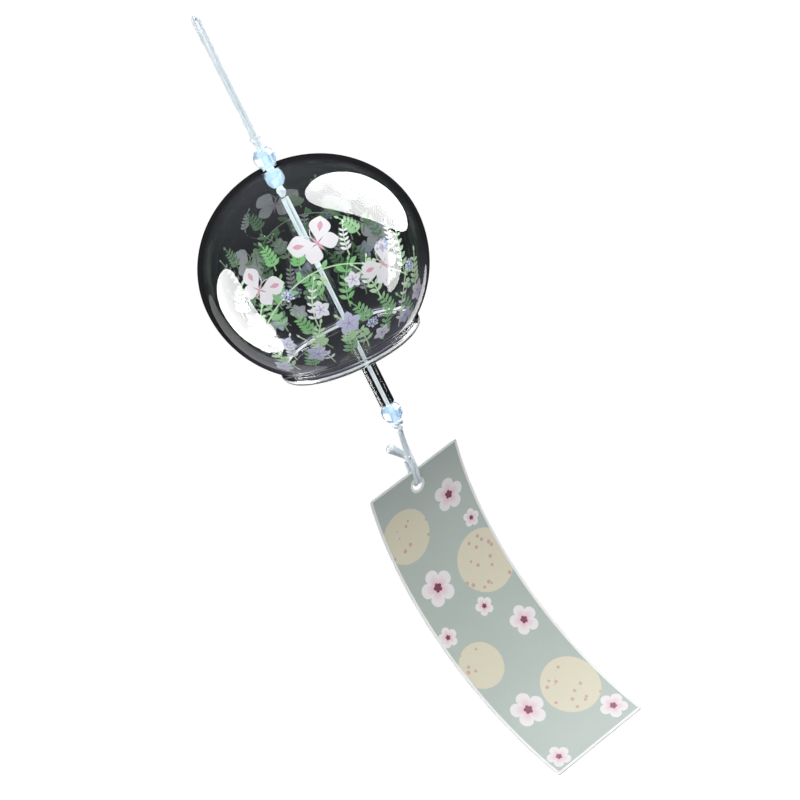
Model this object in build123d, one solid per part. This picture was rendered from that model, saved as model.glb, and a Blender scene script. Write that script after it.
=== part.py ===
# Furin wind bell: a blown-glass globe on a doubled cord, with a glass tube as its clapper
# and a curled paper strip below that catches the wind.
# Millimetres, +Z up. The origin is the point of the hanging loop that bears on its hook,
# X runs along the strip's width and the strip's front looks towards -Y.
from build123d import *
import math
import os

os.makedirs("parts", exist_ok=True)

# Cord, used doubled over the whole length
cord_diameter = 1.45
strand_gap = 0.2
running_clearance = 0.3
grip_clearance = 0.05

# Hanging loop, opened by its hook
hook_diameter = 1.4
loop_join_drop = 18.0
loop_widest_drop = 5.0
hanger_drop = 56.5

# Knots: turns of cord drawn tight, the middle one the widest
knot_turn_pitch = 1.32
knot_middle_radius = 2.1
knot_outer_radius = 1.62
knot_groove_radius = 1.82
knot_end_radius = 0.6
top_knot_gap = 1.4

# Glass bell: a flattened upper half, a round lower half, a short neck and a rolled lip.
# It hangs a little askew on its bead, tilted about Y
globe_radius = 39.5
globe_flattening = 3.5
bell_tilt = 2.5
glass_wall = 1.7
hole_radius = 2.5
hole_rounding = 0.35
neck_drop = 31.0
lip_height = 2.9
lip_overhang = 1.1
lip_rounding = 0.3
mouth_inset = 0.2

# Faceted beads
bead_bore_radius = 1.9
bead_sides = 8
bead_end_angle = 52.0
bead_ring_shares = (-1.0, -0.35, 0.35, 1.0)
top_bead_radius = 4.1
inner_bead_radius = 3.5
bottom_bead_radius = 3.9
top_bead_clearance = 0.7

# Clapper: a glass tube on the doubled cord, resting on the bottom bead
clapper_length = 92.9
tube_length = 55.0
tube_outer_radius = 2.7
tube_bore_radius = 1.95
tube_edge_radius = 0.2
strand_bow = 0.15
strand_bow_drop = 13.0
strand_close_drop = 25.0

# Paper strip, curled towards the front
strip_width = 41.0
strip_length = 124.6
strip_thickness = 0.4
strip_curl_radius = 93.0
strip_corner_radius = 0.8
strip_hole_radius = 2.1
strip_hole_inset = 6.6

# Cord that carries the strip, measured down from the lower knot
strip_cord_length = 26.1
tie_knot_drop = 13.8
tie_entry_drop = 10.5
tie_exit_drop = 17.2
tie_back_drop = 16.3

# Cut ends of the cord, melted into one tail beside the tie knot
tail_root = (-2.4, 1.2, -10.8)
tail_tip = (-5.1, 0.8, -7.2)
tail_root_radius = 0.85
tail_end_radius = 1.2

# One overrun for every cut
cut_overrun = 2.0

# Share of the shorter run that a cord's arc may take at each end
run_share = 0.45

# Places along the cord that follow from those sizes
cord_radius = cord_diameter / 2
strand_x = (cord_diameter + strand_gap) / 2
bend_x = (hook_diameter + cord_diameter) / 2
knot_half_height = 3 * knot_turn_pitch / 2
knot_reach = max(
    knot_middle_radius,
    math.hypot(knot_outer_radius, knot_turn_pitch),
    math.hypot(knot_end_radius, knot_half_height),
)
swing_stand_off = knot_reach + running_clearance
end_stand_off = knot_half_height + running_clearance

globe_rise = globe_radius - globe_flattening
inner_radius = globe_radius - glass_wall
inner_rise = globe_rise - glass_wall
globe_z = -hanger_drop - globe_rise
hole_edge_radius = hole_radius + hole_rounding
hole_top_z = globe_z + globe_rise * math.sqrt(1 - (hole_edge_radius / globe_radius) ** 2)
hole_under_z = globe_z + inner_rise * math.sqrt(1 - (hole_edge_radius / inner_radius) ** 2)

bead_height_share = math.sin(math.radians(bead_end_angle))
top_bead_z = hole_top_z + math.sqrt((top_bead_radius + top_bead_clearance) ** 2 - hole_edge_radius**2)
top_knot_z = top_bead_z + top_bead_radius * bead_height_share + top_knot_gap + knot_half_height
inner_bead_z = hole_under_z - math.sqrt((inner_bead_radius + running_clearance) ** 2 - hole_edge_radius**2)
stopper_z = inner_bead_z - inner_bead_radius * bead_height_share - end_stand_off
lower_knot_z = stopper_z - clapper_length
bottom_bead_z = lower_knot_z + end_stand_off + bottom_bead_radius * bead_height_share
tube_end_z = bottom_bead_z + math.sqrt((bottom_bead_radius + running_clearance) ** 2 - tube_bore_radius**2)


def cord_path(points):
    """Straight runs joined by tangent arcs, each as large as its two runs allow."""
    if len(points) == 2:
        return Line(*points)
    radii = []
    for before, corner, after in zip(points, points[1:], points[2:]):
        run_in = Vector(*corner) - Vector(*before)
        run_out = Vector(*after) - Vector(*corner)
        half_turn = math.radians(run_in.get_angle(run_out)) / 2
        radii.append(run_share * min(run_in.length, run_out.length) / math.tan(half_turn))
    print("bend radii", [round(r, 2) for r in radii])
    return FilletPolyline(*points, radius=radii)


def cord_tube(points, radius):
    """A round tube along a cord's route."""
    path = cord_path(points)
    tube = sweep(Plane(origin=path @ 0, z_dir=path % 0) * Circle(radius), path=path)
    volume_share = tube.volume / (math.pi * radius**2 * path.length)
    print("cord length", round(path.length, 2), "volume share", round(volume_share, 4))
    return tube


def knot():
    """Three tight turns of cord, turned about Z and centred on the origin."""
    groove_z = knot_turn_pitch / 2
    lower_end = (knot_end_radius, -knot_half_height)
    lower_groove = (knot_groove_radius, -groove_z)
    upper_groove = (knot_groove_radius, groove_z)
    upper_end = (knot_end_radius, knot_half_height)
    turns = [
        ThreePointArc(lower_end, (knot_outer_radius, -knot_turn_pitch), lower_groove),
        ThreePointArc(lower_groove, (knot_middle_radius, 0), upper_groove),
        ThreePointArc(upper_groove, (knot_outer_radius, knot_turn_pitch), upper_end),
    ]
    core = Polyline(upper_end, (0, knot_half_height), (0, -knot_half_height), lower_end)
    return revolve(Plane.XZ * make_face(Curve() + turns + core), Axis.Z)


def faceted_bead(radius):
    """A bead of flat facets inside a ball of the given radius, bored along Z."""
    rings = []
    for share in bead_ring_shares:
        angle = math.radians(share * bead_end_angle)
        ring = RegularPolygon(radius * math.cos(angle), bead_sides)
        rings.append(Pos(0, 0, radius * math.sin(angle)) * ring)
    return loft(rings, ruled=True) - Cylinder(bead_bore_radius, 2 * radius)


def glass_bell():
    """The globe's wall turned from the rounded top hole to the rolled lip, tilted about its bead."""
    neck_radius = math.sqrt(globe_radius**2 - neck_drop**2)
    mouth_radius = neck_radius - glass_wall - mouth_inset
    mouth_drop = math.sqrt(inner_radius**2 - mouth_radius**2)
    lip_radius = (neck_radius + mouth_radius) / 2
    lip_middle = -neck_drop - lip_height / 2
    lip_bottom = -neck_drop - lip_height
    neck_angle = math.degrees(math.asin(neck_drop / globe_radius))
    mouth_angle = math.degrees(math.asin(mouth_drop / inner_radius))
    outer_hole_angle = math.degrees(math.acos(hole_edge_radius / globe_radius))
    inner_hole_angle = math.degrees(math.acos(hole_edge_radius / inner_radius))
    hole_middle = (hole_top_z + hole_under_z) / 2 - globe_z

    outside_top = EllipticalCenterArc((0, 0), globe_radius, globe_rise, arc_size=outer_hole_angle)
    outside_low = CenterArc((0, 0), globe_radius, -neck_angle, neck_angle)
    lip_outside = ThreePointArc(
        outside_low @ 0, (neck_radius + lip_overhang, lip_middle), (lip_radius, lip_bottom)
    )
    lip_inside = ThreePointArc(
        (lip_radius, lip_bottom),
        (mouth_radius + lip_rounding, lip_bottom + lip_rounding),
        (mouth_radius, lip_middle),
    )
    inside_low = CenterArc((0, 0), inner_radius, -mouth_angle, mouth_angle)
    mouth_wall = Line(lip_inside @ 1, inside_low @ 0)
    inside_top = EllipticalCenterArc((0, 0), inner_radius, inner_rise, arc_size=inner_hole_angle)
    hole_edge = ThreePointArc(inside_top @ 1, (hole_radius, hole_middle), outside_top @ 1)
    outline = Curve() + [outside_top, outside_low, lip_outside, lip_inside]
    outline += [mouth_wall, inside_low, inside_top, hole_edge]
    upright = Pos(0, 0, globe_z - inner_bead_z) * revolve(Plane.XZ * make_face(outline), Axis.Z)
    return Pos(0, 0, inner_bead_z) * Rot(0, bell_tilt, 0) * upright


def clapper_tube():
    """A glass tube with fire-polished ends, standing on the bottom bead."""
    tube = Cylinder(tube_outer_radius, tube_length) - Cylinder(tube_bore_radius, tube_length + cut_overrun)
    tube = fillet(tube.edges().filter_by(GeomType.CIRCLE), tube_edge_radius)
    return Pos(0, 0, tube_end_z + tube_length / 2) * tube


def cord_tail():
    """Two cut ends melted together, thickest at their rounded tip."""
    run = Vector(*tail_tip) - Vector(*tail_root)
    ends = Pos(0, 0, run.length / 2) * Cone(tail_root_radius, tail_end_radius, run.length)
    ends += Pos(0, 0, run.length) * Sphere(tail_end_radius)
    return Plane(origin=tail_root, z_dir=run) * ends


def paper_strip():
    """A rectangle of card curled about a line in front of it, with the cord's hole near its top edge."""
    centre = (-strip_curl_radius, -strip_cord_length)
    rise = math.degrees(strip_top_angle)
    fall = math.degrees(strip_bottom_angle)
    back = CenterArc(centre, strip_curl_radius + strip_thickness / 2, -fall, fall - rise)
    front = CenterArc(centre, strip_curl_radius - strip_thickness / 2, -fall, fall - rise)
    outline = Curve() + [back, front, Line(back @ 0, front @ 0), Line(back @ 1, front @ 1)]
    card = extrude(Plane.YZ * make_face(outline), strip_width / 2, both=True)
    card = fillet(card.edges().group_by(SortBy.LENGTH)[0], strip_corner_radius)
    drill = Rot(90, 0, 0) * Cylinder(strip_hole_radius, strip_thickness + cut_overrun)
    return card - Pos(0, 0, -strip_cord_length) * drill


# Hanging loop: one cord up from inside the bell, round the hook and down again
right_side = [
    (strand_x, 0, stopper_z + end_stand_off),
    (strand_x, 0, -loop_join_drop),
    (bend_x, 0, -loop_widest_drop),
    (bend_x, 0, cord_radius),
]
hanging_route = right_side + [(-x, y, z) for x, y, z in reversed(right_side)]

# Clapper cord: two strands, bowed a little apart inside the bell and side by side in the tube
clapper_route = [
    (strand_x, 0, stopper_z - swing_stand_off),
    (strand_x + strand_bow, 0, stopper_z - strand_bow_drop),
    (strand_x, 0, stopper_z - strand_close_drop),
    (strand_x, 0, lower_knot_z + end_stand_off),
]

# Strip cord, in a frame with the lower knot at its origin and the strip's hole straight below:
# each strand goes through the tie knot, down the front, through the hole and up the back
wrap_drop = strip_cord_length - strip_hole_radius + cord_diameter
strip_cord_route = [
    (strand_x, 0, -swing_stand_off),
    (strand_x, 0, -tie_entry_drop),
    (strand_x, -cord_diameter, -tie_exit_drop),
    (strand_x, -cord_diameter, -wrap_drop),
    (strand_x, cord_diameter, -wrap_drop),
    (strand_x, cord_diameter, -tie_back_drop),
]

# The strip and its cord hang with the strip's weight straight under the lower knot
strip_top_angle = -strip_hole_inset / strip_curl_radius
strip_bottom_angle = (strip_length - strip_hole_inset) / strip_curl_radius
strip_angle = strip_length / strip_curl_radius
sine_mean = (math.sin(strip_bottom_angle) - math.sin(strip_top_angle)) / strip_angle
cosine_mean = (math.cos(strip_top_angle) - math.cos(strip_bottom_angle)) / strip_angle
weight_forward = strip_curl_radius * (1 - sine_mean)
weight_drop = strip_cord_length + strip_curl_radius * cosine_mean
hang_angle = math.degrees(math.atan2(weight_forward, weight_drop))
strip_place = Pos(0, 0, lower_knot_z) * Rot(hang_angle, 0, 0)

# Sub-parts, from the hook down
grip_radius = cord_radius + grip_clearance
strand_bores = Pos(strand_x, 0, 0) * Cylinder(grip_radius, 2 * end_stand_off)
strand_bores += Pos(-strand_x, 0, 0) * Cylinder(grip_radius, 2 * end_stand_off)
strand = cord_tube(clapper_route, cord_radius)
strip_strand = cord_tube(strip_cord_route, cord_radius)
tie_place = Pos(0, 0, -tie_knot_drop)
tie_bore = cord_tube(strip_cord_route, grip_radius)
tie_bores = tie_bore + mirror(tie_bore, Plane.YZ)

parts = {
    "hanging_loop": cord_tube(hanging_route, cord_radius),
    "top_knot": Pos(0, 0, top_knot_z) * (knot() - strand_bores),
    "top_bead": Pos(0, 0, top_bead_z) * faceted_bead(top_bead_radius),
    "glass_bell": glass_bell(),
    "inner_bead": Pos(0, 0, inner_bead_z) * faceted_bead(inner_bead_radius),
    "stopper_knot": Pos(0, 0, stopper_z) * knot(),
    "clapper_strand_right": strand,
    "clapper_strand_left": mirror(strand, Plane.YZ),
    "clapper_tube": clapper_tube(),
    "bottom_bead": Pos(0, 0, bottom_bead_z) * faceted_bead(bottom_bead_radius),
    "lower_knot": Pos(0, 0, lower_knot_z) * knot(),
    "strip_cord_right": strip_place * strip_strand,
    "strip_cord_left": strip_place * mirror(strip_strand, Plane.YZ),
    "tie_knot": strip_place * (tie_place * knot() - tie_bores),
    "cord_tail": strip_place * cord_tail(),
    "paper_strip": strip_place * paper_strip(),
}

for name, shape in parts.items():
    export_step(shape, f"parts/{name}.step")
    print(name, "solids", len(shape.solids()), "volume", round(shape.volume, 2))
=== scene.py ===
import math
import random

import bpy
from mathutils import Matrix, Vector


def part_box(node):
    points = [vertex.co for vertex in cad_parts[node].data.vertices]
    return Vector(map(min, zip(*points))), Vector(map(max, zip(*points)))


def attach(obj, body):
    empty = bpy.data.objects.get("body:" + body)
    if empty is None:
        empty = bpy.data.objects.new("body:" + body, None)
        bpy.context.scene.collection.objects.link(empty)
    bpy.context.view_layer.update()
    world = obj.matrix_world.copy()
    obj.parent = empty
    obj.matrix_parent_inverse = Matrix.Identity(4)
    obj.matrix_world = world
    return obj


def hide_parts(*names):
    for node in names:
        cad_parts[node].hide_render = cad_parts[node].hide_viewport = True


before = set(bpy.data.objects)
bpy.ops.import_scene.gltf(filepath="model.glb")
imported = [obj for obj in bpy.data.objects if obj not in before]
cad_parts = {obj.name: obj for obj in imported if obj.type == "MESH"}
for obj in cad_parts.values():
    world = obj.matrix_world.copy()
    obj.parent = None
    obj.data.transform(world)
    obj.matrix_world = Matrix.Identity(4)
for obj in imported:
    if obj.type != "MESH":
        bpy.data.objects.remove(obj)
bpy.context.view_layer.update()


# Camera: a long lens a little to the left of the strip's front and above it, rolled so that
# the hanging line leans from top left to bottom right.
view_azimuth = math.radians(-27.2)
view_elevation = math.radians(19.5)
view_roll = math.radians(26.5)
view_distance = 1.2
view_middle = Vector((0, 0, -0.1325))
view_right_shift = 0.0044
view_down_shift = 0.0172
picture_pixels = 800
focal_pixels = 3514

towards_camera = Vector((
    math.sin(view_azimuth) * math.cos(view_elevation),
    -math.cos(view_azimuth) * math.cos(view_elevation),
    math.sin(view_elevation),
))
level = Vector((math.cos(view_azimuth), math.sin(view_azimuth), 0))
upright = towards_camera.cross(level)
picture_right = level * math.cos(view_roll) - upright * math.sin(view_roll)
picture_up = upright * math.cos(view_roll) + level * math.sin(view_roll)
eye = view_middle + view_right_shift * level - view_down_shift * upright + view_distance * towards_camera

camera_lens = bpy.data.cameras.new("camera")
camera_lens.lens = camera_lens.sensor_width * focal_pixels / picture_pixels
camera = bpy.data.objects.new("camera", camera_lens)
camera.matrix_world = Matrix.Translation(eye) @ Matrix(
    (picture_right, picture_up, towards_camera)
).transposed().to_4x4()
bpy.context.collection.objects.link(camera)
bpy.context.scene.camera = camera


# Hanging loop: one braided nylon cord, doubled, that goes up from inside the bell, round its hook
# and down again. It is taut, and its two strands lie side by side below the loop.
cord_diameter = 0.00145
strand_x = 0.00076
bend_x = 0.00098
loop_straight_z = -0.032
loop_join_z = -0.018
loop_widest_z = -0.005
loop_top_z = cord_diameter / 2
inner_end_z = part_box("hanging_loop")[0].z
braid_carriers = 8
braid_pitch = 0.0013
braid_depth = 0.00009
cord_sides = 24
cord_step = 0.00017
line_resolution = 40
tip_share = 0.01
filament_turns = 96
filament_pitch = 4 * braid_pitch
filament_depth = 0.00003
filament_strength = 0.35
filament_weight, patch_weight = 0.18, 1.1
patch_scale = 900
cord_colour = (0.58, 0.71, 0.77, 1)
cord_light_colour = (0.85, 0.91, 0.94, 1)


class Maths:
    """One socket of a material. Sums on it add Math nodes, and make() adds any other node."""

    def __init__(self, tree, socket=None):
        self.tree = tree
        self.socket = socket

    def make(self, kind, settings=(), inputs=(), output=0):
        node = self.tree.nodes.new(kind)
        for name, value in dict(settings).items():
            if name == "stops":
                while len(node.color_ramp.elements) < len(value):
                    node.color_ramp.elements.new(0.5)
                for stop, (place, colour) in zip(node.color_ramp.elements, value):
                    stop.position = place
                    stop.color = colour
            else:
                setattr(node, name, value)
        for name, value in dict(inputs).items():
            if isinstance(value, Maths):
                self.tree.links.new(value.socket, node.inputs[name])
            else:
                node.inputs[name].default_value = value
        return Maths(self.tree, node.outputs[output])

    def to(self, socket):
        self.tree.links.new(self.socket, socket)

    def maths(self, operation, *values):
        return self.make("ShaderNodeMath", {"operation": operation}, enumerate(values))

    def __add__(self, other):
        return self.maths("ADD", self, other)

    def __sub__(self, other):
        return self.maths("SUBTRACT", self, other)

    def __mul__(self, other):
        return self.maths("MULTIPLY", self, other)

    def __truediv__(self, other):
        return self.maths("DIVIDE", self, other)

    def __pow__(self, other):
        return self.maths("POWER", self, other)

    def __lt__(self, other):
        return self.maths("LESS_THAN", self, other)

    def __rsub__(self, other):
        return self.maths("SUBTRACT", other, self)

    __radd__ = __add__
    __rmul__ = __mul__

    def blend(self, low, high):
        """A colour that goes from low to high as this value goes from 0 to 1."""
        sockets = {0: self, 6: low, 7: high}
        return self.make("ShaderNodeMix", {"data_type": "RGBA", "clamp_factor": True}, sockets, 2)


def new_finish(name, **sockets):
    """A Principled material with its constants set, its maths and its shader."""
    material = bpy.data.materials.new(name)
    material.use_nodes = True
    shader = material.node_tree.nodes["Principled BSDF"]
    for socket, value in sockets.items():
        shader.inputs[socket.replace("_", " ")].default_value = value
    return material, Maths(material.node_tree), shader


def cord_line(name, route):
    """Points along the smooth line that a cord takes through its route."""
    curve = bpy.data.curves.new(name, "CURVE")
    curve.dimensions = "3D"
    curve.resolution_u = line_resolution
    spline = curve.splines.new("NURBS")
    spline.points.add(len(route) - 1)
    for point, place in zip(spline.points, route):
        point.co = (*place, 1)
    spline.order_u = 3
    spline.use_endpoint_u = True
    holder = bpy.data.objects.new(name, curve)
    bpy.context.collection.objects.link(holder)
    line = bpy.data.meshes.new_from_object(holder)
    points = [vertex.co.copy() for vertex in line.vertices]
    bpy.data.objects.remove(holder)
    bpy.data.curves.remove(curve)
    bpy.data.meshes.remove(line)
    return points


def evenly(points, step):
    """The same line with its points one step apart."""
    spaced, left = [points[0]], step
    for start, end in zip(points, points[1:]):
        run = (end - start).length
        travelled = left
        while travelled <= run:
            spaced.append(start.lerp(end, travelled / run))
            travelled += step
        left = travelled - run
    return spaced + [points[-1]]


def braided(name, points, swell=(1, 1), round_tip=False):
    """A tube along a line, with the relief of its braid in its surface and u, v round and along it."""
    line = evenly(points, cord_step)
    length = sum((end - start).length for start, end in zip(line, line[1:]))
    tip = swell[1] * cord_diameter / 2
    across = (line[1] - line[0]).orthogonal().normalized()
    vertices, faces, places, along = [], [], [], 0
    for index, point in enumerate(line):
        ahead = line[min(index + 1, len(line) - 1)] - line[max(index - 1, 0)]
        ahead.normalize()
        across = (across - ahead * across.dot(ahead)).normalized()
        beside = ahead.cross(across)
        if index:
            along += (point - line[index - 1]).length
        grow = swell[0] + (swell[1] - swell[0]) * along / length
        if round_tip:
            grow *= math.sqrt(max(tip_share, 1 - max(0, 1 - (length - along) / tip) ** 2))
        for side in range(cord_sides):
            share = side / cord_sides
            one_way = math.pi * (braid_carriers / 2 * share + along / braid_pitch)
            other_way = math.pi * (braid_carriers / 2 * share - along / braid_pitch)
            crown = (math.cos(one_way) * math.cos(other_way)) ** 2
            reach = grow * (cord_diameter / 2 - braid_depth * (1 - crown))
            turn = math.tau * share
            vertices.append(point + reach * (across * math.cos(turn) + beside * math.sin(turn)))
            places.append((share, along))
    rings = len(line)
    for ring in range(rings - 1):
        for side in range(cord_sides):
            near, far = ring * cord_sides, (ring + 1) * cord_sides
            after = (side + 1) % cord_sides
            faces.append((near + side, near + after, far + after, far + side))
    faces.append(tuple(reversed(range(cord_sides))))
    faces.append(tuple(range((rings - 1) * cord_sides, rings * cord_sides)))
    mesh = bpy.data.meshes.new(name)
    mesh.from_pydata(vertices, [], faces)
    unwrap = mesh.uv_layers.new(name="braid")
    for face in mesh.polygons:
        wraps = len(face.vertices) == 4 and face.vertices[1] % cord_sides == 0
        for loop, vertex in zip(face.loop_indices, face.vertices):
            round_it, along = places[vertex]
            unwrap.data[loop].uv = (1 if wraps and vertex % cord_sides == 0 else round_it, along)
    mesh.shade_smooth()
    piece = bpy.data.objects.new(name, mesh)
    bpy.context.collection.objects.link(piece)
    return piece


cord_finish, cord_maths, cord_shader = new_finish("braided_nylon", Roughness=0.5)
cord_unwrap = cord_maths.make("ShaderNodeUVMap", {"uv_map": "braid"})
cord_round = cord_maths.make("ShaderNodeSeparateXYZ", {}, {0: cord_unwrap})
cord_along = cord_maths.make("ShaderNodeSeparateXYZ", {}, {0: cord_unwrap}, 1)
filaments = cord_maths.maths("SINE", (cord_round + cord_along / filament_pitch) * filament_turns)
cord_patches = cord_maths.make(
    "ShaderNodeTexNoise", {}, {"Vector": cord_unwrap, "Scale": patch_scale, "Detail": 2}
)
cord_shade = filaments * filament_weight + cord_patches * patch_weight
cord_shade.blend(cord_colour, cord_light_colour).to(cord_shader.inputs["Base Color"])
cord_maths.make(
    "ShaderNodeBump", {},
    {"Strength": filament_strength, "Distance": filament_depth, "Height": filaments},
).to(cord_shader.inputs["Normal"])

loop_side = [
    Vector((strand_x, 0, inner_end_z)),
    Vector((strand_x, 0, loop_straight_z)),
    Vector((strand_x, 0, loop_join_z)),
    Vector((bend_x, 0, loop_widest_z)),
    Vector((bend_x, 0, loop_top_z)),
]
loop_route = loop_side + [Vector((-place.x, place.y, place.z)) for place in reversed(loop_side)]
loop_line = cord_line("hanging_loop", loop_route)
hanging_cord = braided("hanging_cord", loop_line)
hanging_cord.data.materials.append(cord_finish)
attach(hanging_cord, "hanger")
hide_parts("hanging_loop")


# Top knot: the same cord tied over both strands above the top bead, in an overhand knot whose three
# lobes cross each other.
knot_points = 30
lobe_reach_share, lobe_rise_share, lobe_lift_share = 2.74, 5.06, 0.47
top_knot_turn = -0.3


def tied_knot(name, node, turn):
    """An overhand knot drawn tight at the place of a CAD knot, turned about the hanging line."""
    low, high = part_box(node)
    middle = (low + high) / 2
    reach = (high.x - low.x - cord_diameter) / 2 / lobe_reach_share
    rise = (high.z - low.z - cord_diameter) / lobe_rise_share
    route = []
    for index in range(knot_points + 1):
        angle = math.tau * index / knot_points
        place = Vector((
            reach * (math.sin(angle) + 2 * math.sin(2 * angle)),
            cord_diameter / 2 * math.sin(3 * angle),
            rise * (math.cos(angle) - 2 * math.cos(2 * angle) + lobe_lift_share),
        ))
        route.append(middle + Matrix.Rotation(turn, 3, "Z") @ place)
    piece = braided(name, cord_line(name, route))
    piece.data.materials.append(cord_finish)
    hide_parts(node)
    return piece


top_knot = tied_knot("tied_top_knot", "top_knot", top_knot_turn)
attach(top_knot, "hanger")


# Top bead: a cut-glass bead threaded on both strands, which sits over the bell's hole.
# Three rings of eight large facets with polished edges.
bead_end_angle = math.radians(52)
bead_ring_shares = (-1.0, -0.35, 0.35, 1.0)
bead_sides = 8
bead_bore_radius = 0.0019
facet_edge = 0.00012
facet_angle = 0.12
merge_distance = 1e-6
bead_cloud_scale, bead_cloud_contrast, bead_cloud_floor = 380, 1.6, 0.3
bead_colour = (0.52, 0.72, 0.90, 1)
bead_light_colour = (0.88, 0.95, 0.99, 1)


def edit(piece):
    """Opens one piece in edit mode with all of it selected."""
    bpy.ops.object.select_all(action="DESELECT")
    bpy.context.view_layer.objects.active = piece
    piece.select_set(True)
    bpy.ops.object.mode_set(mode="EDIT")
    bpy.ops.mesh.select_all(action="SELECT")


def close_up():
    """Merges what coincides, turns all faces outwards and leaves edit mode."""
    bpy.ops.mesh.select_all(action="SELECT")
    bpy.ops.mesh.remove_doubles(threshold=merge_distance)
    bpy.ops.mesh.normals_make_consistent(inside=False)
    bpy.ops.object.mode_set(mode="OBJECT")


def apply_modifier(piece, kind, **settings):
    """Adds a modifier with its settings and applies it."""
    modifier = piece.modifiers.new(kind.lower(), kind)
    for name, value in settings.items():
        setattr(modifier, name, value)
    bpy.context.view_layer.objects.active = piece
    bpy.ops.object.modifier_apply(modifier=modifier.name)


def cut_bead(name, node, body):
    """A faceted and bored bead at the place of a CAD bead."""
    low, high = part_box(node)
    middle_z = (low.z + high.z) / 2
    radius = (high.z - low.z) / 2 / math.sin(bead_end_angle)
    rings = []
    for share in bead_ring_shares:
        angle = share * bead_end_angle
        rings.append((radius * math.cos(angle), middle_z + radius * math.sin(angle)))
    rings += [(bead_bore_radius, rings[-1][1]), (bead_bore_radius, rings[0][1]), rings[0]]
    bpy.ops.object.select_all(action="DESELECT")
    bpy.ops.mesh.primitive_circle_add(
        vertices=bead_sides, radius=rings[0][0], location=(0, 0, rings[0][1])
    )
    piece = bpy.context.object
    piece.name = piece.data.name = name
    bpy.ops.object.transform_apply(location=True)
    edit(piece)
    for (reach, height), (next_reach, next_height) in zip(rings, rings[1:]):
        bpy.ops.mesh.extrude_region_move(
            TRANSFORM_OT_translate={"value": (0, 0, next_height - height)}
        )
        grow = next_reach / reach
        bpy.ops.transform.resize(value=(grow, grow, 1), center_override=(0, 0, next_height))
    close_up()
    apply_modifier(
        piece, "BEVEL", width=facet_edge, segments=1, limit_method="ANGLE", angle_limit=facet_angle
    )
    piece.visible_shadow = False
    piece.data.materials.append(bead_finish)
    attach(piece, body)
    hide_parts(node)


bead_finish, bead_maths, bead_shader = new_finish(
    "cut_bead_glass", Roughness=0.03, IOR=1.54, Transmission_Weight=0.7
)
bead_place = bead_maths.make("ShaderNodeTexCoord", {}, {}, 3)
bead_cloud = bead_maths.make(
    "ShaderNodeTexNoise", {}, {"Vector": bead_place, "Scale": bead_cloud_scale, "Detail": 1}
)
bead_shade = bead_cloud * bead_cloud_contrast - bead_cloud_floor
bead_shade.blend(bead_colour, bead_light_colour).to(bead_shader.inputs["Base Color"])
cut_bead("cut_top_bead", "top_bead", "top_bead")


# Glass bell: blown clear glass with a flattened crown, a cord hole, a short neck and a rolled lip.
# It hangs a little askew on the inner bead, and its wall is a little wavy from the blowing.
globe_radius = 0.0395
globe_flattening = 0.0035
globe_rise = globe_radius - globe_flattening
globe_z = -0.0925
glass_wall = 0.0017
hole_radius = 0.0025
hole_edge_radius = 0.00285
neck_drop = 0.031
lip_height = 0.0029
lip_overhang = 0.0011
lip_rounding = 0.0003
mouth_inset = 0.0002
lip_highlight_height = 0.0009
lip_highlight_rise = 0.0001
bell_steps = 160
outside_steps, inside_steps = 96, 90
lip_steps, mouth_steps, hole_steps = 24, 8, 10
wave_scale, wave_strength, wave_depth = 34, 0.04, 0.0012
bell_tilt = math.radians(2.5)
bell_pivot = sum(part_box("inner_bead"), Vector()) / 2
bell_place = (
    Matrix.Translation(bell_pivot) @ Matrix.Rotation(bell_tilt, 4, "Y") @ Matrix.Translation(-bell_pivot)
)


def bow(start, through, end, count):
    """Points on the circular arc from start through a third point to end, without its start."""
    (ax, ay), (bx, by), (cx, cy) = start, through, end
    double = 2 * (ax * (by - cy) + bx * (cy - ay) + cx * (ay - by))
    a2, b2, c2 = ax * ax + ay * ay, bx * bx + by * by, cx * cx + cy * cy
    x = (a2 * (by - cy) + b2 * (cy - ay) + c2 * (ay - by)) / double
    y = (a2 * (cx - bx) + b2 * (ax - cx) + c2 * (bx - ax)) / double
    radius = math.hypot(ax - x, ay - y)
    first = math.atan2(ay - y, ax - x)
    sweep = (math.atan2(cy - y, cx - x) - first) % math.tau
    if (math.atan2(by - y, bx - x) - first) % math.tau > sweep:
        sweep -= math.tau
    angles = [first + sweep * step / count for step in range(1, count + 1)]
    return [(x + radius * math.cos(angle), y + radius * math.sin(angle)) for angle in angles]


def globe_side(radius, rise, start, end, count):
    """Points down one side of the globe, from one angle above its equator to another."""
    points = []
    for step in range(count + 1):
        angle = start + (end - start) * step / count
        height = rise if angle > 0 else radius
        points.append((radius * math.cos(angle), globe_z + height * math.sin(angle)))
    return points


def turned(name, outline, steps):
    """A wall turned about the hanging line from its closed outline."""
    mesh = bpy.data.meshes.new(name)
    count = len(outline)
    mesh.from_pydata(
        [(reach, 0, height) for reach, height in outline],
        [(index, (index + 1) % count) for index in range(count)], [],
    )
    piece = bpy.data.objects.new(name, mesh)
    bpy.context.collection.objects.link(piece)
    edit(piece)
    bpy.ops.mesh.spin(steps=steps, angle=math.tau, center=(0, 0, 0), axis=(0, 0, 1))
    close_up()
    mesh.shade_smooth()
    return piece


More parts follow.
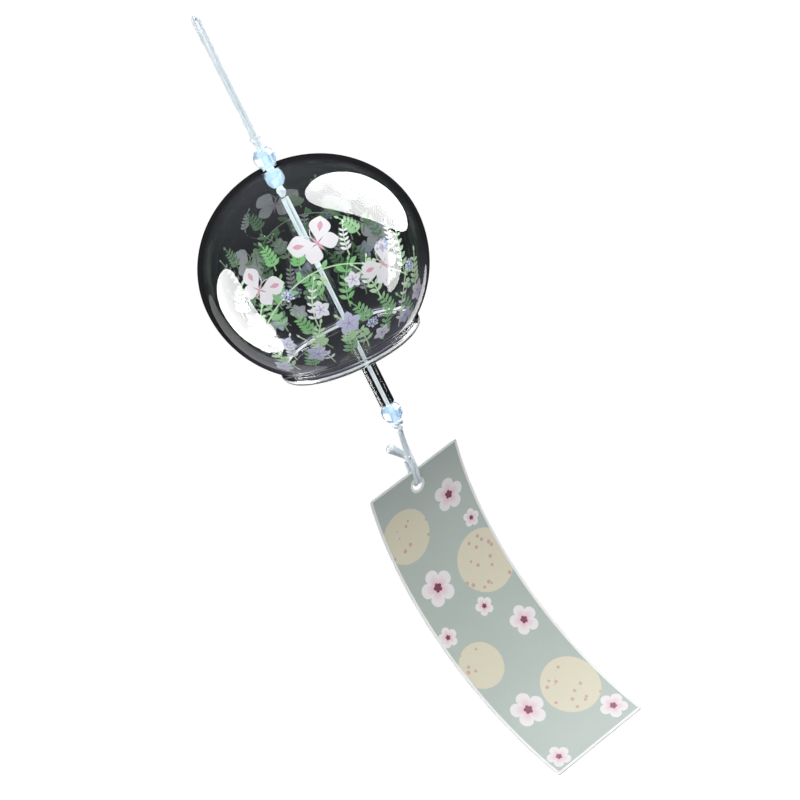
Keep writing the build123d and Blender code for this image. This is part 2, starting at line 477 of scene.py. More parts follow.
inner_radius = globe_radius - glass_wall
inner_rise = globe_rise - glass_wall
neck_radius = math.sqrt(globe_radius**2 - neck_drop**2)
mouth_radius = neck_radius - glass_wall - mouth_inset
lip_radius = (neck_radius + mouth_radius) / 2
lip_middle_z = globe_z - neck_drop - lip_height / 2
lip_bottom_z = globe_z - neck_drop - lip_height
neck_angle = -math.asin(neck_drop / globe_radius)
mouth_angle = -math.acos(mouth_radius / inner_radius)
outer_hole_angle = math.acos(hole_edge_radius / globe_radius)
inner_hole_angle = math.acos(hole_edge_radius / inner_radius)
outside = globe_side(globe_radius, globe_rise, outer_hole_angle, neck_angle, outside_steps)
inside = globe_side(inner_radius, inner_rise, mouth_angle, inner_hole_angle, inside_steps)
lip_outside = bow(
    outside[-1], (neck_radius + lip_overhang, lip_middle_z), (lip_radius, lip_bottom_z), lip_steps
)
lip_inside = bow(
    lip_outside[-1], (mouth_radius + lip_rounding, lip_bottom_z + lip_rounding),
    (mouth_radius, lip_middle_z), mouth_steps,
)
hole_middle = (hole_radius, (outside[0][1] + inside[-1][1]) / 2)
hole_edge = bow(inside[-1], hole_middle, outside[0], hole_steps)[:-1]
lip_highlight_z = lip_middle_z + lip_highlight_rise
bell = turned("blown_bell", outside + lip_outside + lip_inside + inside + hole_edge, bell_steps)

glass_finish, glass_maths, glass_shader = new_finish(
    "blown_glass", Base_Color=(0.88, 0.91, 0.91, 1), Roughness=0.0, IOR=1.5, Transmission_Weight=1.0
)
glass_place = glass_maths.make("ShaderNodeTexCoord", {}, {}, 3)
glass_waves = glass_maths.make(
    "ShaderNodeTexNoise", {}, {"Vector": glass_place, "Scale": wave_scale, "Detail": 1}
)
glass_maths.make(
    "ShaderNodeBump", {}, {"Strength": wave_strength, "Distance": wave_depth, "Height": glass_waves}
).to(glass_shader.inputs["Normal"])
# A whiter, half-clear band round the outside of the lip is a painted highlight: the bright line that light
# draws along the lip.
lip_highlight_finish = new_finish(
    "painted_lip_highlight", Base_Color=(0.90, 0.92, 0.95, 1), Roughness=0.3, IOR=1.5, Transmission_Weight=0.3
)[0]
bell.data.materials.append(glass_finish)
bell.data.materials.append(lip_highlight_finish)
for face in bell.data.polygons:
    reach = math.hypot(face.center.x, face.center.y)
    if reach > lip_radius and abs(face.center.z - lip_highlight_z) < lip_highlight_height / 2:
        face.material_index = 1
bell.data.transform(bell_place)
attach(bell, "bell")
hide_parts("glass_bell")
bell.visible_shadow = False


# Printed garden: enamel fired on the outside of the globe in thin flat colours. Its faces that look into
# the globe carry painted shade, a dark copy of each colour where the glass casts no shadow. Vines, leaf
# sprays, star flowers, florets, clovers and butterflies fill a front and a back panel, with clear glass
# between them.
millimetre = 0.001
print_thickness = 0.00003
print_lift = 0.00002
print_step = 0.0012
stem_width = 0.00045
fine_line = 0.00022
garden_panels = (-27, 153)
panel_spread = 1.42
garden_seed = 7
place_jitter = 3
petal_sides, dot_sides = 9, 8
flower_petals, flower_petal_width, flower_petal_fullness = 5, 0.68, 1.1
flower_vein, flower_heart = (0.15, 0.32, 0.5), 0.13
leaf_length, leaf_width_share, leaf_spread, leaf_taper = 0.0037, 0.42, 0.95, 0.45
bud_length = 0.0028
tip_length_share, tip_width_share = 0.6, 0.26
spray_steps, spray_pairs, lowest_fork, fork_run = 14, 5, 0.2, 0.72
spray_colours = ("leaves", "pale_leaves", "leaves", "white_petals")
clover_length, clover_turn, clover_fullness, clover_stalk = 0.0021, 2.0, 1.3, (2.4, 1.2, 0)
floret_count, floret_share, white_floret_every = 19, 0.2, 3
golden_turn = math.pi * (3 - math.sqrt(5))
fore_wing, fore_wing_turn = (0.56, 0.42, 1.5), 0.95
hind_wing, hind_wing_turn = (0.40, 0.32, 1.35), 2.15
wing_mark, wing_mark_right, wing_mark_up = (0.22, 0.10, 1.3), 0.19, 0.13
feeler_shares, feeler_spread, feeler_foot, feeler_rise = (0, 0.5, 1), 0.10, 0.14, 0.16
body_drop, body_length, body_width = 0.2, 0.38, 0.06
vine_steps, vine_leaf_every = 40, 3
vine_low, vine_rise, vine_half_width = -14, 26, 44
vine_leaf_length, vine_leaf_growth, vine_leaf_share, vine_leaf_turn = 0.0036, 0.0012, 0.45, 0.8
underside_shade_share = 0.22
enamel_cloud_scale, enamel_cloud_contrast, enamel_cloud_floor = 260, 1.4, 0.45
enamel_light_share = 0.25
print_colours = {
    "stems": (0.19, 0.46, 0.16, 1),
    "leaves": (0.21, 0.54, 0.20, 1),
    "pale_leaves": (0.52, 0.80, 0.45, 1),
    "petals": (0.66, 0.70, 0.91, 1),
    "white_petals": (0.90, 0.91, 0.96, 1),
    "hearts": (0.40, 0.34, 0.66, 1),
    "wings": (0.90, 0.89, 0.92, 1),
    "wing_marks": (0.74, 0.34, 0.46, 1),
    "florets": (0.42, 0.56, 0.86, 1),
}
print_layers = {colour: print_lift * (layer + 1) for layer, colour in enumerate(print_colours)}
printed_shapes = {colour: ([], []) for colour in print_colours}
garden_luck = random.Random(garden_seed)


def on_globe(longitude, latitude, proud):
    """A point on the globe's outside, a little proud of the glass."""
    height = globe_rise if latitude > 0 else globe_radius
    reach = (globe_radius + proud) * math.cos(latitude)
    return Vector((
        reach * math.sin(longitude),
        -reach * math.cos(longitude),
        globe_z + (height + proud) * math.sin(latitude),
    ))


def beside(place, x, y, turn=0):
    """The longitude and latitude that lie x to the right of a place and y above it, turned."""
    longitude, latitude = place
    across = x * math.cos(turn) - y * math.sin(turn)
    up = x * math.sin(turn) + y * math.cos(turn)
    return longitude + across / (globe_radius * math.cos(latitude)), latitude + up / globe_radius


def print_shape(colour, place, outline, turn=0):
    """Lays one closed outline on the glass, as rings of faces round its middle."""
    vertices, faces = printed_shapes[colour]
    middle_x = sum(x for x, y in outline) / len(outline)
    middle_y = sum(y for x, y in outline) / len(outline)
    reach = max(math.hypot(x - middle_x, y - middle_y) for x, y in outline)
    rings = max(1, round(reach / print_step))
    first = len(vertices)
    vertices.append(on_globe(*beside(place, middle_x, middle_y, turn), print_layers[colour]))
    for ring in range(1, rings + 1):
        share = ring / rings
        for x, y in outline:
            x, y = middle_x + (x - middle_x) * share, middle_y + (y - middle_y) * share
            vertices.append(on_globe(*beside(place, x, y, turn), print_layers[colour]))
    count = len(outline)
    for index in range(count):
        after = (index + 1) % count
        faces.append((first, first + 1 + index, first + 1 + after))
        for ring in range(rings - 1):
            near = first + 1 + ring * count
            faces.append((near + index, near + count + index, near + count + after, near + after))


def print_line(colour, places, width):
    """Lays a line of even width along places on the glass."""
    vertices, faces = printed_shapes[colour]
    first = len(vertices)
    points = [on_globe(*place, print_layers[colour]) for place in places]
    for index, point in enumerate(points):
        ahead = points[min(index + 1, len(points) - 1)] - points[max(index - 1, 0)]
        out = point - Vector((0, 0, globe_z))
        side = ahead.cross(out).normalized() * width / 2
        vertices.extend((point - side, point + side))
    for index in range(len(points) - 1):
        near = first + 2 * index
        faces.append((near, near + 1, near + 3, near + 2))


def petal(length, width, fullness=1.0):
    """A pointed oval that stands on its stalk; fullness above 1 moves its widest part outwards."""
    right = []
    for step in range(1, petal_sides):
        share = step / petal_sides
        right.append((width / 2 * math.sin(math.pi * share**fullness), length * share))
    return [(0, 0)] + right + [(0, length)] + [(-x, y) for x, y in reversed(right)]


def disc(radius, sides=10):
    """A round dot."""
    return [
        (radius * math.cos(math.tau * side / sides), radius * math.sin(math.tau * side / sides))
        for side in range(sides)
    ]


def print_flower(place, radius, turn, colour):
    """Five pointed petals, each with a vein, and a heart."""
    outline = petal(radius, flower_petal_width * radius, flower_petal_fullness)
    for index in range(flower_petals):
        angle = turn + math.tau * index / flower_petals
        print_shape(colour, place, outline, angle)
        vein = [beside(place, 0, radius * share, angle) for share in flower_vein]
        print_line("hearts", vein, fine_line)
    print_shape("hearts", place, disc(flower_heart * radius))


def print_spray(place, height, lean, pairs, leaf, colour):
    """A stem that leans as it rises, with leaves or buds in pairs and one at its tip."""
    stem = [
        beside(place, lean * height * (step / spray_steps) ** 2, height * step / spray_steps)
        for step in range(spray_steps + 1)
    ]
    print_line("stems" if colour == "leaves" else "pale_leaves", stem, stem_width)
    for pair in range(pairs):
        share = lowest_fork + fork_run * pair / pairs
        fork = beside(place, lean * height * share**2, height * share)
        slope = -math.atan2(2 * lean * share, 1)
        length = leaf * (1 - leaf_taper * share)
        for hand in (1, -1):
            print_shape(colour, fork, petal(length, leaf_width_share * length), slope + hand * leaf_spread)
    tip = beside(place, lean * height, height)
    outline = petal(tip_length_share * leaf, tip_width_share * leaf)
    print_shape(colour, tip, outline, -math.atan2(2 * lean, 1))


def print_florets(place, count, spread):
    """A round head of small dots, set as seeds are in a seed head."""
    for index in range(count):
        away = spread * math.sqrt((index + 0.5) / count)
        angle = index * golden_turn
        dot = beside(place, away * math.cos(angle), away * math.sin(angle))
        colour = "florets" if index % white_floret_every else "white_petals"
        print_shape(colour, dot, disc(floret_share * spread, dot_sides))


def print_clover(place, leaf, turn):
    """A stalk with three round leaves."""
    print_line("stems", [beside(place, 0, -leaf * share, turn) for share in clover_stalk], stem_width)
    for angle in (-clover_turn, 0, clover_turn):
        print_shape("pale_leaves", place, petal(leaf, leaf, clover_fullness), turn + angle)


def print_butterfly(place, span, turn):
    """Two pairs of wings with marks, a body and feelers."""
    fore, hind, spot = (
        petal(length * span, width * span, fullness)
        for length, width, fullness in (fore_wing, hind_wing, wing_mark)
    )
    for hand in (1, -1):
        print_shape("wings", place, fore, turn - hand * fore_wing_turn)
        print_shape("wings", place, hind, turn - hand * hind_wing_turn)
        mark = beside(place, hand * wing_mark_right * span, wing_mark_up * span, turn)
        print_shape("wing_marks", mark, spot, turn - hand * fore_wing_turn)
        feeler = []
        for share in feeler_shares:
            out, up = hand * feeler_spread * share**2, feeler_foot + feeler_rise * share
            feeler.append(beside(place, out * span, up * span, turn))
        print_line("wings", feeler, fine_line)
    body_foot = beside(place, 0, -body_drop * span, turn)
    print_shape("wing_marks", body_foot, petal(body_length * span, body_width * span), turn)


def degrees(longitude, latitude):
    """A place on the globe, given in degrees."""
    return math.radians(longitude), math.radians(latitude)


garden_flowers = [
    (2, -20, 4.6), (20, -7, 3.9), (-15, -31, 4.2), (34, -26, 4.0), (-31, -9, 4.0), (14, -36, 3.4),
    (-22, -19, 3.6), (8, 0, 3.2), (26, -35, 3.5), (-6, -7, 3.5), (-33, -34, 3.6),
]
garden_sprays = [
    (-34, -42, 13, 0.35), (-27, -40, 20, -0.30), (-19, -42, 12, 0.30), (-11, -42, 17, -0.25),
    (-3, -41, 11, 0.35), (6, -41, 18, -0.30), (14, -42, 12, 0.30), (22, -40, 20, 0.25),
    (31, -41, 14, -0.35), (-30, -17, 14, 0.30), (-19, -12, 15, -0.35), (-8, -15, 16, 0.30),
    (5, -12, 15, 0.35), (16, -16, 15, -0.30), (28, -13, 17, 0.30), (12, 12, 11, 0.35),
    (-15, 20, 10, -0.30), (-12, -30, 11, 0.30), (9, -26, 10, -0.30), (-24, -31, 11, 0.30),
    (20, -30, 12, -0.30), (0, -33, 9, 0.30), (-3, -3, 11, -0.30), (27, 0, 11, 0.30),
    (-17, 2, 9, 0.30), (-33, 0, 12, 0.30), (-12, -20, 10, -0.25), (13, -8, 10, 0.30),
    (-6, 16, 8, 0.35), (33, -24, 12, 0.25), (18, 18, 9, -0.30),
]
garden_florets = [(-13, 6, 2.3), (25, 7, 2.6), (-30, 6, 2.1), (11, -26, 2.1), (33, -10, 2.2)]
garden_clovers = [
    (-26, -3, 0.5), (0, 6, -0.4), (18, 3, 0.3), (30, -18, -0.5), (-9, -24, 0.4), (7, -30, -0.3),
]
garden_butterflies = [
    (4, 25, 18.5, 0.35), (-22, 13, 16.5, -0.6), (22, -1, 15.5, 0.5), (-29, -14, 14.5, 0.2),
]
for panel, start in enumerate(garden_panels):
    vine, vine_slopes = [], []
    for step in range(vine_steps + 1):
        swing = math.pi * step / vine_steps
        longitude = start + vine_half_width * (2 * step / vine_steps - 1)
        vine.append(degrees(longitude, vine_low + vine_rise * math.sin(swing)))
        vine_slopes.append(math.atan2(vine_rise * math.pi * math.cos(swing), 2 * vine_half_width))
    print_line("pale_leaves", vine, stem_width)
    for step in range(vine_leaf_every, vine_steps, vine_leaf_every):
        hand = 1 if step % 2 else -1
        length = vine_leaf_length + vine_leaf_growth * garden_luck.random()
        turn = vine_slopes[step] - math.pi / 2 + hand * vine_leaf_turn
        print_shape("leaves", vine[step], petal(length, vine_leaf_share * length), turn)
    for index, (longitude, latitude, height, lean) in enumerate(garden_sprays):
        place = degrees(start + panel_spread * longitude + place_jitter * garden_luck.random(), latitude)
        colour = spray_colours[(index + panel) % len(spray_colours)]
        leaf = bud_length if colour == "white_petals" else leaf_length
        print_spray(place, height * millimetre, lean, spray_pairs, leaf, colour)
    for longitude, latitude, turn in garden_clovers:
        print_clover(degrees(start + panel_spread * longitude, latitude), clover_length, turn)
    for longitude, latitude, spread in garden_florets:
        place = degrees(start + panel_spread * longitude, latitude)
        print_florets(place, floret_count, spread * millimetre)
    for index, (longitude, latitude, radius) in enumerate(garden_flowers):
        place = degrees(start + panel_spread * longitude + place_jitter * garden_luck.random(), latitude)
        colour = "white_petals" if index % 2 else "petals"
        print_flower(place, radius * millimetre, math.tau * garden_luck.random(), colour)
    for longitude, latitude, span, turn in garden_butterflies:
        print_butterfly(degrees(start + panel_spread * longitude, latitude), span * millimetre, turn)

for colour, (vertices, faces) in printed_shapes.items():
    print_mesh = bpy.data.meshes.new("printed_" + colour)
    print_mesh.from_pydata(vertices, [], faces)
    printed = bpy.data.objects.new("printed_" + colour, print_mesh)
    bpy.context.collection.objects.link(printed)
    apply_modifier(printed, "SOLIDIFY", thickness=print_thickness, offset=1)
    face_finish, print_maths, print_shader = new_finish(
        "enamel_" + colour, Roughness=0.38, Coat_Weight=1.0
    )
    print_place = print_maths.make("ShaderNodeTexCoord", {}, {}, 3)
    print_cloud = print_maths.make(
        "ShaderNodeTexNoise", {}, {"Vector": print_place, "Scale": enamel_cloud_scale, "Detail": 3}
    )
    light = tuple(
        (1 - enamel_light_share) * share + enamel_light_share for share in print_colours[colour]
    )
    enamel_shade = print_cloud * enamel_cloud_contrast - enamel_cloud_floor
    enamel_shade.blend(print_colours[colour], light).to(print_shader.inputs["Base Color"])
    # Faces that look into the globe get a dark copy of the colour: painted shade, as the glass casts no
    # shadow on them.
    dark = tuple(underside_shade_share * share for share in print_colours[colour][:3]) + (1,)
    underside_shade_finish = new_finish("enamel_behind_" + colour, Base_Color=dark, Roughness=0.5)[0]
    print_mesh.materials.append(face_finish)
    print_mesh.materials.append(underside_shade_finish)
    for face in print_mesh.polygons:
        outwards = face.center - Vector((0, 0, globe_z))
        face.material_index = 1 if face.normal.dot(outwards) < 0 else 0
    print_mesh.transform(bell_place)
    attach(printed, "bell")


# Inner bead and stopper knot: the bell rests on this cut-glass bead, and the bead on the knot that is
# tied in the cord under it.
stopper_turn = 1.3
cut_bead("cut_inner_bead", "inner_bead", "inner_bead")
stopper = tied_knot("tied_stopper_knot", "stopper_knot", stopper_turn)
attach(stopper, "stopper")


# Clapper cord: both strands go on from the stopper knot, a little apart inside the bell, then twist
# a sixth of a turn and lie one before the other in the tube, down to the lower knot.
stopper_z = sum(place.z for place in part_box("stopper_knot")) / 2
lower_knot_z = sum(place.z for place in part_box("lower_knot")) / 2
strand_top_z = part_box("clapper_strand_right")[1].z
strand_end_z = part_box("clapper_strand_right")[0].z
strand_bow = 0.00015
strand_bow_drop, strand_close_drop, strand_twist_drop = 0.013, 0.025, 0.036
half_twist = math.radians(26)
full_twist = math.radians(62)
for hand, name in ((1, "right"), (-1, "left")):
    across = Vector((hand * strand_x, 0, 0))
    half_turned = Matrix.Rotation(half_twist, 3, "Z") @ across
    turned_across = Matrix.Rotation(full_twist, 3, "Z") @ across
    strand_line = cord_line("clapper_cord_" + name, [
        across + Vector((0, 0, strand_top_z)),
        across + Vector((hand * strand_bow, 0, stopper_z - strand_bow_drop)),
        half_turned + Vector((0, 0, stopper_z - strand_close_drop)),
        turned_across + Vector((0, 0, stopper_z - strand_twist_drop)),
        turned_across + Vector((0, 0, strand_end_z)),
    ])
    strand = braided("clapper_cord_" + name, strand_line)
    strand.data.materials.append(cord_finish)
    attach(strand, "clapper_line")
    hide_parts("clapper_strand_" + name)


# Clapper tube: a length of clear drawn glass tube with fire-polished ends, which stands on the bottom
# bead and strikes the bell's lip.
tube_low, tube_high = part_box("clapper_tube")
tube_radius = tube_high.x
tube_bore_radius = 0.00195
tube_edge = 0.0002
tube_steps, edge_steps = 48, 5
draw_scale, draw_share, draw_strength, draw_depth = 700, 0.04, 0.05, 0.0001
corner = tube_edge * (1 - math.sqrt(0.5))
tube_outline = [(tube_radius, tube_low.z + tube_edge), (tube_radius, tube_high.z - tube_edge)]
tube_outline += bow(
    tube_outline[-1], (tube_radius - corner, tube_high.z - corner),
    (tube_radius - tube_edge, tube_high.z), edge_steps,
)
tube_outline.append((tube_bore_radius + tube_edge, tube_high.z))
tube_outline += bow(
    tube_outline[-1], (tube_bore_radius + corner, tube_high.z - corner),
    (tube_bore_radius, tube_high.z - tube_edge), edge_steps,
)
tube_outline.append((tube_bore_radius, tube_low.z + tube_edge))
tube_outline += bow(
    tube_outline[-1], (tube_bore_radius + corner, tube_low.z + corner),
    (tube_bore_radius + tube_edge, tube_low.z), edge_steps,
)
tube_outline.append((tube_radius - tube_edge, tube_low.z))
tube_outline += bow(
    tube_outline[-1], (tube_radius - corner, tube_low.z + corner), tube_outline[0], edge_steps
)[:-1]
tube = turned("drawn_tube", tube_outline, tube_steps)
tube_finish, tube_maths, tube_shader = new_finish(
    "tube_glass", Roughness=0.0, IOR=1.47, Transmission_Weight=1.0, Specular_Tint=(0.05, 0.05, 0.05, 1)
)
tube_place = tube_maths.make("ShaderNodeTexCoord", {}, {}, 3)
tube_drawn = tube_maths.make(
    "ShaderNodeMapping", {}, {"Vector": tube_place, "Scale": (1, 1, draw_share)}
)
tube_lines = tube_maths.make(
    "ShaderNodeTexNoise", {}, {"Vector": tube_drawn, "Scale": draw_scale, "Detail": 1}
)
tube_maths.make(
    "ShaderNodeBump", {}, {"Strength": draw_strength, "Distance": draw_depth, "Height": tube_lines}
).to(tube_shader.inputs["Normal"])
tube.data.materials.append(tube_finish)
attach(tube, "clapper_tube")
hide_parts("clapper_tube")
tube.visible_shadow = False


# Bottom bead and lower knot: the tube stands on this cut-glass bead, and the knot tied under it
# carries both.
lower_knot_turn = 2.6
cut_bead("cut_bottom_bead", "bottom_bead", "bottom_bead")
lower_knot = tied_knot("tied_lower_knot", "lower_knot", lower_knot_turn)
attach(lower_knot, "lower_knot")


# Strip cord: both strands go on through the tie knot, down the strip's front, through its hole and up
# behind it to the knot, beside which their cut ends are melted into one short tail.
hang_angle = math.radians(16.2735)
strip_cord_length = 0.0261
strip_hole_radius = 0.0021
strip_place = Matrix.Translation((0, 0, lower_knot_z)) @ Matrix.Rotation(hang_angle, 4, "X")
cord_start_drop = 0.0024
tie_entry_drop = 0.0105
tie_exit_drop = 0.0172
tie_back_drop = 0.0163
wrap_drop = strip_cord_length - strip_hole_radius + cord_diameter
tail_route = ((-0.0004, 0.0006, -0.0136), (-0.0026, 0.0013, -0.0104), (-0.0064, 0.0007, -0.0058))
tail_swell = (1.7, 2.6)
strip_twist = math.radians(33)
tie_knot_turn = 0.5
tie_knot = tied_knot("tied_tie_knot", "tie_knot", tie_knot_turn)
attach(tie_knot, "strip")

tail_line = cord_line("cut_tail", [strip_place @ Vector(place) for place in tail_route])
cord_tail = braided("cut_tail", tail_line, tail_swell, round_tip=True)
cord_tail.data.materials.append(cord_finish)
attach(cord_tail, "strip")
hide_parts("cord_tail")

for hand, name in ((1, "right"), (-1, "left")):
    turned_across = Matrix.Rotation(strip_twist, 3, "Z") @ Vector((hand * strand_x, 0, 0))
    strand_line = cord_line("strip_cord_" + name, [strip_place @ Vector(place) for place in (
        (turned_across.x, turned_across.y, -cord_start_drop),
        (turned_across.x, turned_across.y, -tie_entry_drop),
        (hand * strand_x, -cord_diameter, -tie_exit_drop),
        (hand * strand_x, -cord_diameter, -wrap_drop),
        (hand * strand_x, cord_diameter, -wrap_drop),
        (hand * strand_x, cord_diameter, -tie_back_drop),
    )])
    strand = braided("strip_tie_" + name, strand_line)
    strand.data.materials.append(cord_finish)
    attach(strand, "strip")
    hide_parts("strip_cord_" + name)


# Paper strip: printed card, cut with rounded corners, punched near its top edge and curled
# towards the front as card does in damp air. It catches the wind and swings the clapper.
strip_width = 0.041
strip_length = 0.1246
strip_thickness = 0.0004
strip_curl_radius = 0.093
strip_corner = 0.0008
strip_hole_inset = 0.0066
strip_margin = 0.0010
strip_bands, strip_columns = 80, 26
corner_segments = 5
crease_angle = math.radians(30)
hole_sides = 32
grain_scale, grain_depth, grain_strength = 900, 0.00004, 0.25
tint_scale, tint_share = 40, 0.7
sage, pale_sage = (0.426, 0.49, 0.449, 1), (0.496, 0.57, 0.527, 1)
cream, dot_colour = (0.74, 0.70, 0.53, 1), (0.60, 0.33, 0.32, 1)
blossom_white, blossom_pink = (0.86, 0.83, 0.84, 1), (0.80, 0.45, 0.55, 1)
blossom_heart = (0.20, 0.03, 0.07, 1)
margin_colour = (0.90, 0.92, 0.90, 1)
disc_strength, dot_strength = 0.92, 0.8
dot_scale, dot_reach = 300, 0.22
blossom_petals, petal_depth, pink_falloff, heart_share = 5, 0.42, 1.35, 0.26
card_discs = (
    (-0.0115, 0.0215, 0.0100), (0.0120, 0.0470, 0.0115),
    (-0.0125, 0.0760, 0.0085), (0.0085, 0.1010, 0.0110),
)
card_blossoms = (
    (0.0105, 0.0180, 0.0062, 0.2), (-0.0095, 0.0445, 0.0068, 0.9), (0.0115, 0.0725, 0.0056, 0.5),
    (-0.0100, 0.0985, 0.0066, 0.1), (0.0020, 0.0600, 0.0036, 0.7), (0.0140, 0.1170, 0.0052, 1.1),
    (-0.0150, 0.1190, 0.0044, 0.4), (0.0150, 0.0310, 0.0034, 0.0), (-0.0165, 0.0610, 0.0038, 0.3),
)
bpy.ops.object.select_all(action="DESELECT")
bpy.ops.mesh.primitive_plane_add(size=1)
strip = bpy.context.object
strip.name = strip.data.name = "curled_strip"
strip.scale = (strip_width, strip_length, 1)
bpy.ops.object.transform_apply(scale=True)
edit(strip)
bpy.ops.mesh.bevel(offset=strip_corner, segments=corner_segments, affect="VERTICES")
bpy.ops.mesh.select_all(action="SELECT")
bpy.ops.mesh.delete(type="ONLY_FACE")
bpy.ops.mesh.primitive_circle_add(
    vertices=hole_sides, radius=strip_hole_radius,
    location=(0, strip_length / 2 - strip_hole_inset, 0),
)
bpy.ops.mesh.select_all(action="SELECT")
bpy.ops.mesh.bridge_edge_loops()
for band in range(1, strip_bands):
    bpy.ops.mesh.select_all(action="SELECT")
    bpy.ops.mesh.bisect(
        plane_co=(0, strip_length * (band / strip_bands - 0.5), 0), plane_no=(0, 1, 0)
    )
for column in range(1, strip_columns):
    bpy.ops.mesh.select_all(action="SELECT")
    bpy.ops.mesh.bisect(
        plane_co=(strip_width * (column / strip_columns - 0.5), 0, 0), plane_no=(1, 0, 0)
    )
close_up()
strip_unwrap = strip.data.uv_layers.new(name="card")
for loop in strip.data.loops:
    flat = strip.data.vertices[loop.vertex_index].co
    strip_unwrap.data[loop.index].uv = (flat.x / strip_width + 0.5, 0.5 - flat.y / strip_length)
for vertex in strip.data.vertices:
    below_hole = strip_length / 2 - strip_hole_inset - vertex.co.y
    angle = below_hole / strip_curl_radius
    vertex.co = strip_place @ Vector((
        vertex.co.x,
        strip_curl_radius * (math.cos(angle) - 1),
        -strip_cord_length - strip_curl_radius * math.sin(angle),
    ))
apply_modifier(strip, "SOLIDIFY", thickness=strip_thickness, offset=0, use_even_offset=True)
bpy.ops.object.shade_smooth_by_angle(angle=crease_angle)

card_finish, card_maths, card_shader = new_finish("printed_card", Roughness=0.55, Specular_IOR_Level=0.25)
card_unwrap = card_maths.make("ShaderNodeUVMap", {"uv_map": "card"})
card_x = (card_maths.make("ShaderNodeSeparateXYZ", {}, {0: card_unwrap}) - 0.5) * strip_width
card_y = card_maths.make("ShaderNodeSeparateXYZ", {}, {0: card_unwrap}, 1) * strip_length
card_flat = card_maths.make("ShaderNodeCombineXYZ", {}, {0: card_x, 1: card_y})
card_grain = card_maths.make(
    "ShaderNodeTexNoise", {}, {"Vector": card_flat, "Scale": grain_scale, "Detail": 4}
)
card_cloud = card_maths.make(
    "ShaderNodeTexNoise", {}, {"Vector": card_flat, "Scale": tint_scale, "Detail": 2}
)
card_colour = (card_cloud * tint_share + card_grain * (1 - tint_share)).blend(sage, pale_sage)


def from_point(x, y):
    """How far the card's point lies right of, below and from a place on it."""
    right, down = card_x - x, card_y - y
    return right, down, (right * right + down * down) ** 0.5


dots = card_maths.make("ShaderNodeTexVoronoi", {}, {"Vector": card_flat, "Scale": dot_scale}) < dot_reach
for x, y, radius in card_discs:
    inside_disc = from_point(x, y)[2] < radius
    card_colour = (inside_disc * disc_strength).blend(card_colour, cream)
    card_colour = (inside_disc * dots * dot_strength).blend(card_colour, dot_colour)
for x, y, radius, turn in card_blossoms:
    right, down, away = from_point(x, y)
    swing = card_maths.maths("ARCTAN2", down, right) * (blossom_petals / 2) + turn
    crown = card_maths.maths("ABSOLUTE", card_maths.maths("COSINE", swing)) ** 0.5
    away = away / ((crown * petal_depth + (1 - petal_depth)) * radius)
    card_colour = (away < 1).blend(card_colour, blossom_white)
    card_colour = (1 - away * pink_falloff).blend(card_colour, blossom_pink)
    card_colour = (away < heart_share).blend(card_colour, blossom_heart)
in_margin = 1 - (card_maths.maths("ABSOLUTE", card_x) < strip_width / 2 - strip_margin) * (
    card_maths.maths("ABSOLUTE", card_y - strip_length / 2) < strip_length / 2 - strip_margin
)
hole_ring = from_point(0, strip_hole_inset)[2] < strip_hole_radius + strip_margin
unprinted = card_maths.maths("MAXIMUM", in_margin, hole_ring)
unprinted.blend(card_colour, margin_colour).to(card_shader.inputs["Base Color"])
card_maths.make(
    "ShaderNodeBump", {}, {"Strength": grain_strength, "Distance": grain_depth, "Height": card_grain}
).to(card_shader.inputs["Normal"])
strip.data.materials.append(card_finish)
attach(strip, "strip")
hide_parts("paper_strip")


# Studio: a pale round floor that sweeps up into a wall, shown to the camera alone, so that the
# glass mirrors and refracts a dark room, with soft boxes for its highlights.
floor_z = -1.4
floor_radius = 2.4
wall_bend = 1.2
wall_top_z = 2.4
floor_thickness = 0.02
floor_middle = 0.001
floor_steps, bend_steps = 96, 12
wall_back = floor_radius + floor_thickness
floor_under_z = floor_z - floor_thickness
bend_inset = wall_bend * (1 - math.sqrt(0.5))
floor_outline = [(floor_middle, floor_z), (floor_radius - wall_bend, floor_z)]
floor_outline += bow(
    floor_outline[-1], (floor_radius - bend_inset, floor_z + bend_inset),
    (floor_radius, floor_z + wall_bend), bend_steps,
)
floor_outline += [
    (floor_radius, wall_top_z), (wall_back, wall_top_z),
    (wall_back, floor_under_z), (floor_middle, floor_under_z),
]
floor = turned("floor", floor_outline, floor_steps)
floor_finish = new_finish(
    "pale_floor", Base_Color=(0.8, 0.8, 0.8, 1), Roughness=0.9,
    Emission_Color=(1, 1, 1, 1), Emission_Strength=0.9,
)[0]
floor.data.materials.append(floor_finish)
floor.visible_glossy = False
floor.visible_transmission = False
floor.visible_diffuse = False

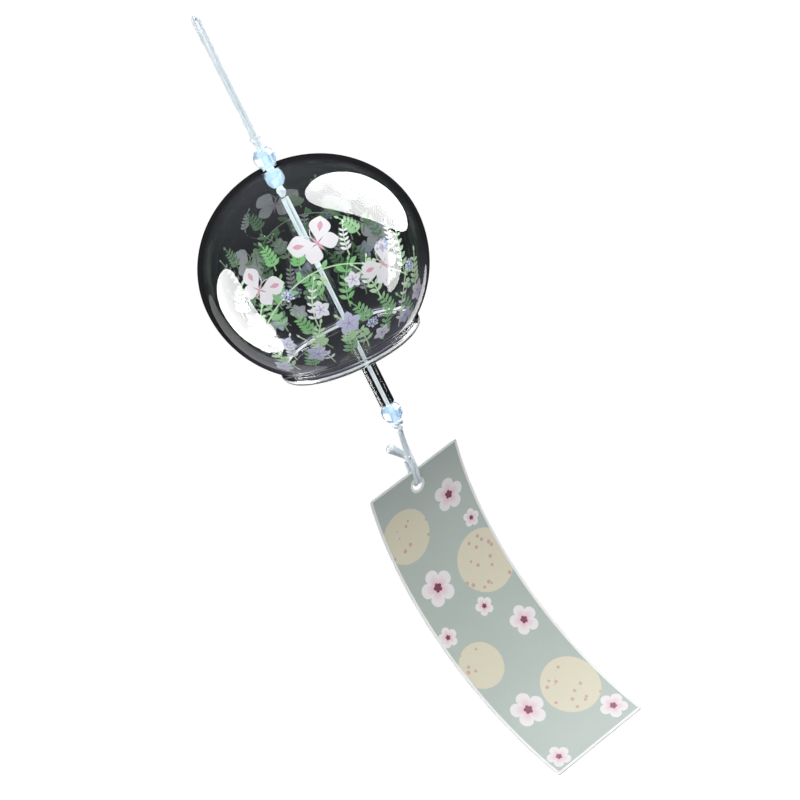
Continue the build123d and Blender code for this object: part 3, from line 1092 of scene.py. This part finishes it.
room = bpy.data.worlds.new("room")
room.use_nodes = True
room_maths = Maths(room.node_tree)
room_way = room_maths.make("ShaderNodeTexCoord")
room_height = room_maths.make("ShaderNodeSeparateXYZ", {}, {0: room_way}, 2)
room_maths.make("ShaderNodeValToRGB", {"stops": (
    (0.00, (0.26, 0.25, 0.32, 1)),
    (0.10, (0.18, 0.17, 0.23, 1)),
    (0.22, (0.055, 0.053, 0.070, 1)),
    (0.32, (0.017, 0.018, 0.018, 1)),
    (0.55, (0.020, 0.019, 0.022, 1)),
    (0.70, (0.042, 0.039, 0.047, 1)),
    (0.85, (0.100, 0.097, 0.115, 1)),
    (1.00, (0.16, 0.16, 0.18, 1)),
)}, {0: room_height * 0.5 + 0.5}).to(room.node_tree.nodes["Background"].inputs["Color"])
bpy.context.scene.world = room
bpy.context.scene.view_settings.view_transform = "Standard"


def soft_box(name, direction, long_way, distance, size, power, shape="RECTANGLE"):
    """A flat light that faces the bell from a direction in the picture."""
    right, up, back = direction
    towards = (right * picture_right + up * picture_up + back * towards_camera).normalized()
    right, up, back = long_way
    long_side = right * picture_right + up * picture_up + back * towards_camera
    long_side = (long_side - towards * long_side.dot(towards)).normalized()
    lamp = bpy.data.lights.new(name, "AREA")
    lamp.shape = shape
    lamp.size, lamp.size_y = size
    lamp.energy = power
    box = bpy.data.objects.new(name, lamp)
    box.matrix_world = Matrix.Translation(Vector((0, 0, globe_z)) + distance * towards) @ Matrix(
        (long_side, towards.cross(long_side), towards)
    ).transposed().to_4x4()
    bpy.context.collection.objects.link(box)
    box.visible_camera = False
    return box


# Name, direction, long way, distance, size and power of the boxes that only the glass mirrors, then
# of those that only light the other pieces
mirrored_boxes = (
    ("window", (0.45, 0.80, -0.05), (0.92, -0.69, -0.71), 0.6, (1.1, 0.62), 28),
    ("side_window", (0.99, 0.03, 0.04), (0, 1, 0), 0.7, (0.6, 0.22), 3.6),
    ("low_window", (-0.79, -0.55, -0.12), (0.60, -0.90, -0.18), 0.75, (1.10, 0.62), 24),
    ("low_glow", (-0.40, -0.58, -0.71), (0.80, -0.60, 0), 0.8, (1.0, 0.34), 0.55),
    ("side_glow", (0.39, -0.29, -0.87), (0.57, 0.82, 0), 0.8, (0.6, 0.22), 0.6),
)
lighting_boxes = (
    ("key", (-0.05, 0.45, 0.88), (1, 0, 0), 1.3, (0.55, 0.55), 13.2),
    ("fill", (0.02, -0.62, 0.75), (0, 1, 0), 1.2, (0.8, 0.8), 4.2),
    ("back_fill", (0.2, 0.4, -0.9), (0, 1, 0), 1.4, (0.8, 0.8), 7),
)
for values in mirrored_boxes:
    box = soft_box(*values, shape="ELLIPSE")
    box.visible_diffuse = False
    box.visible_transmission = False
for values in lighting_boxes:
    box = soft_box(*values)
    box.visible_glossy = False
    box.visible_transmission = False
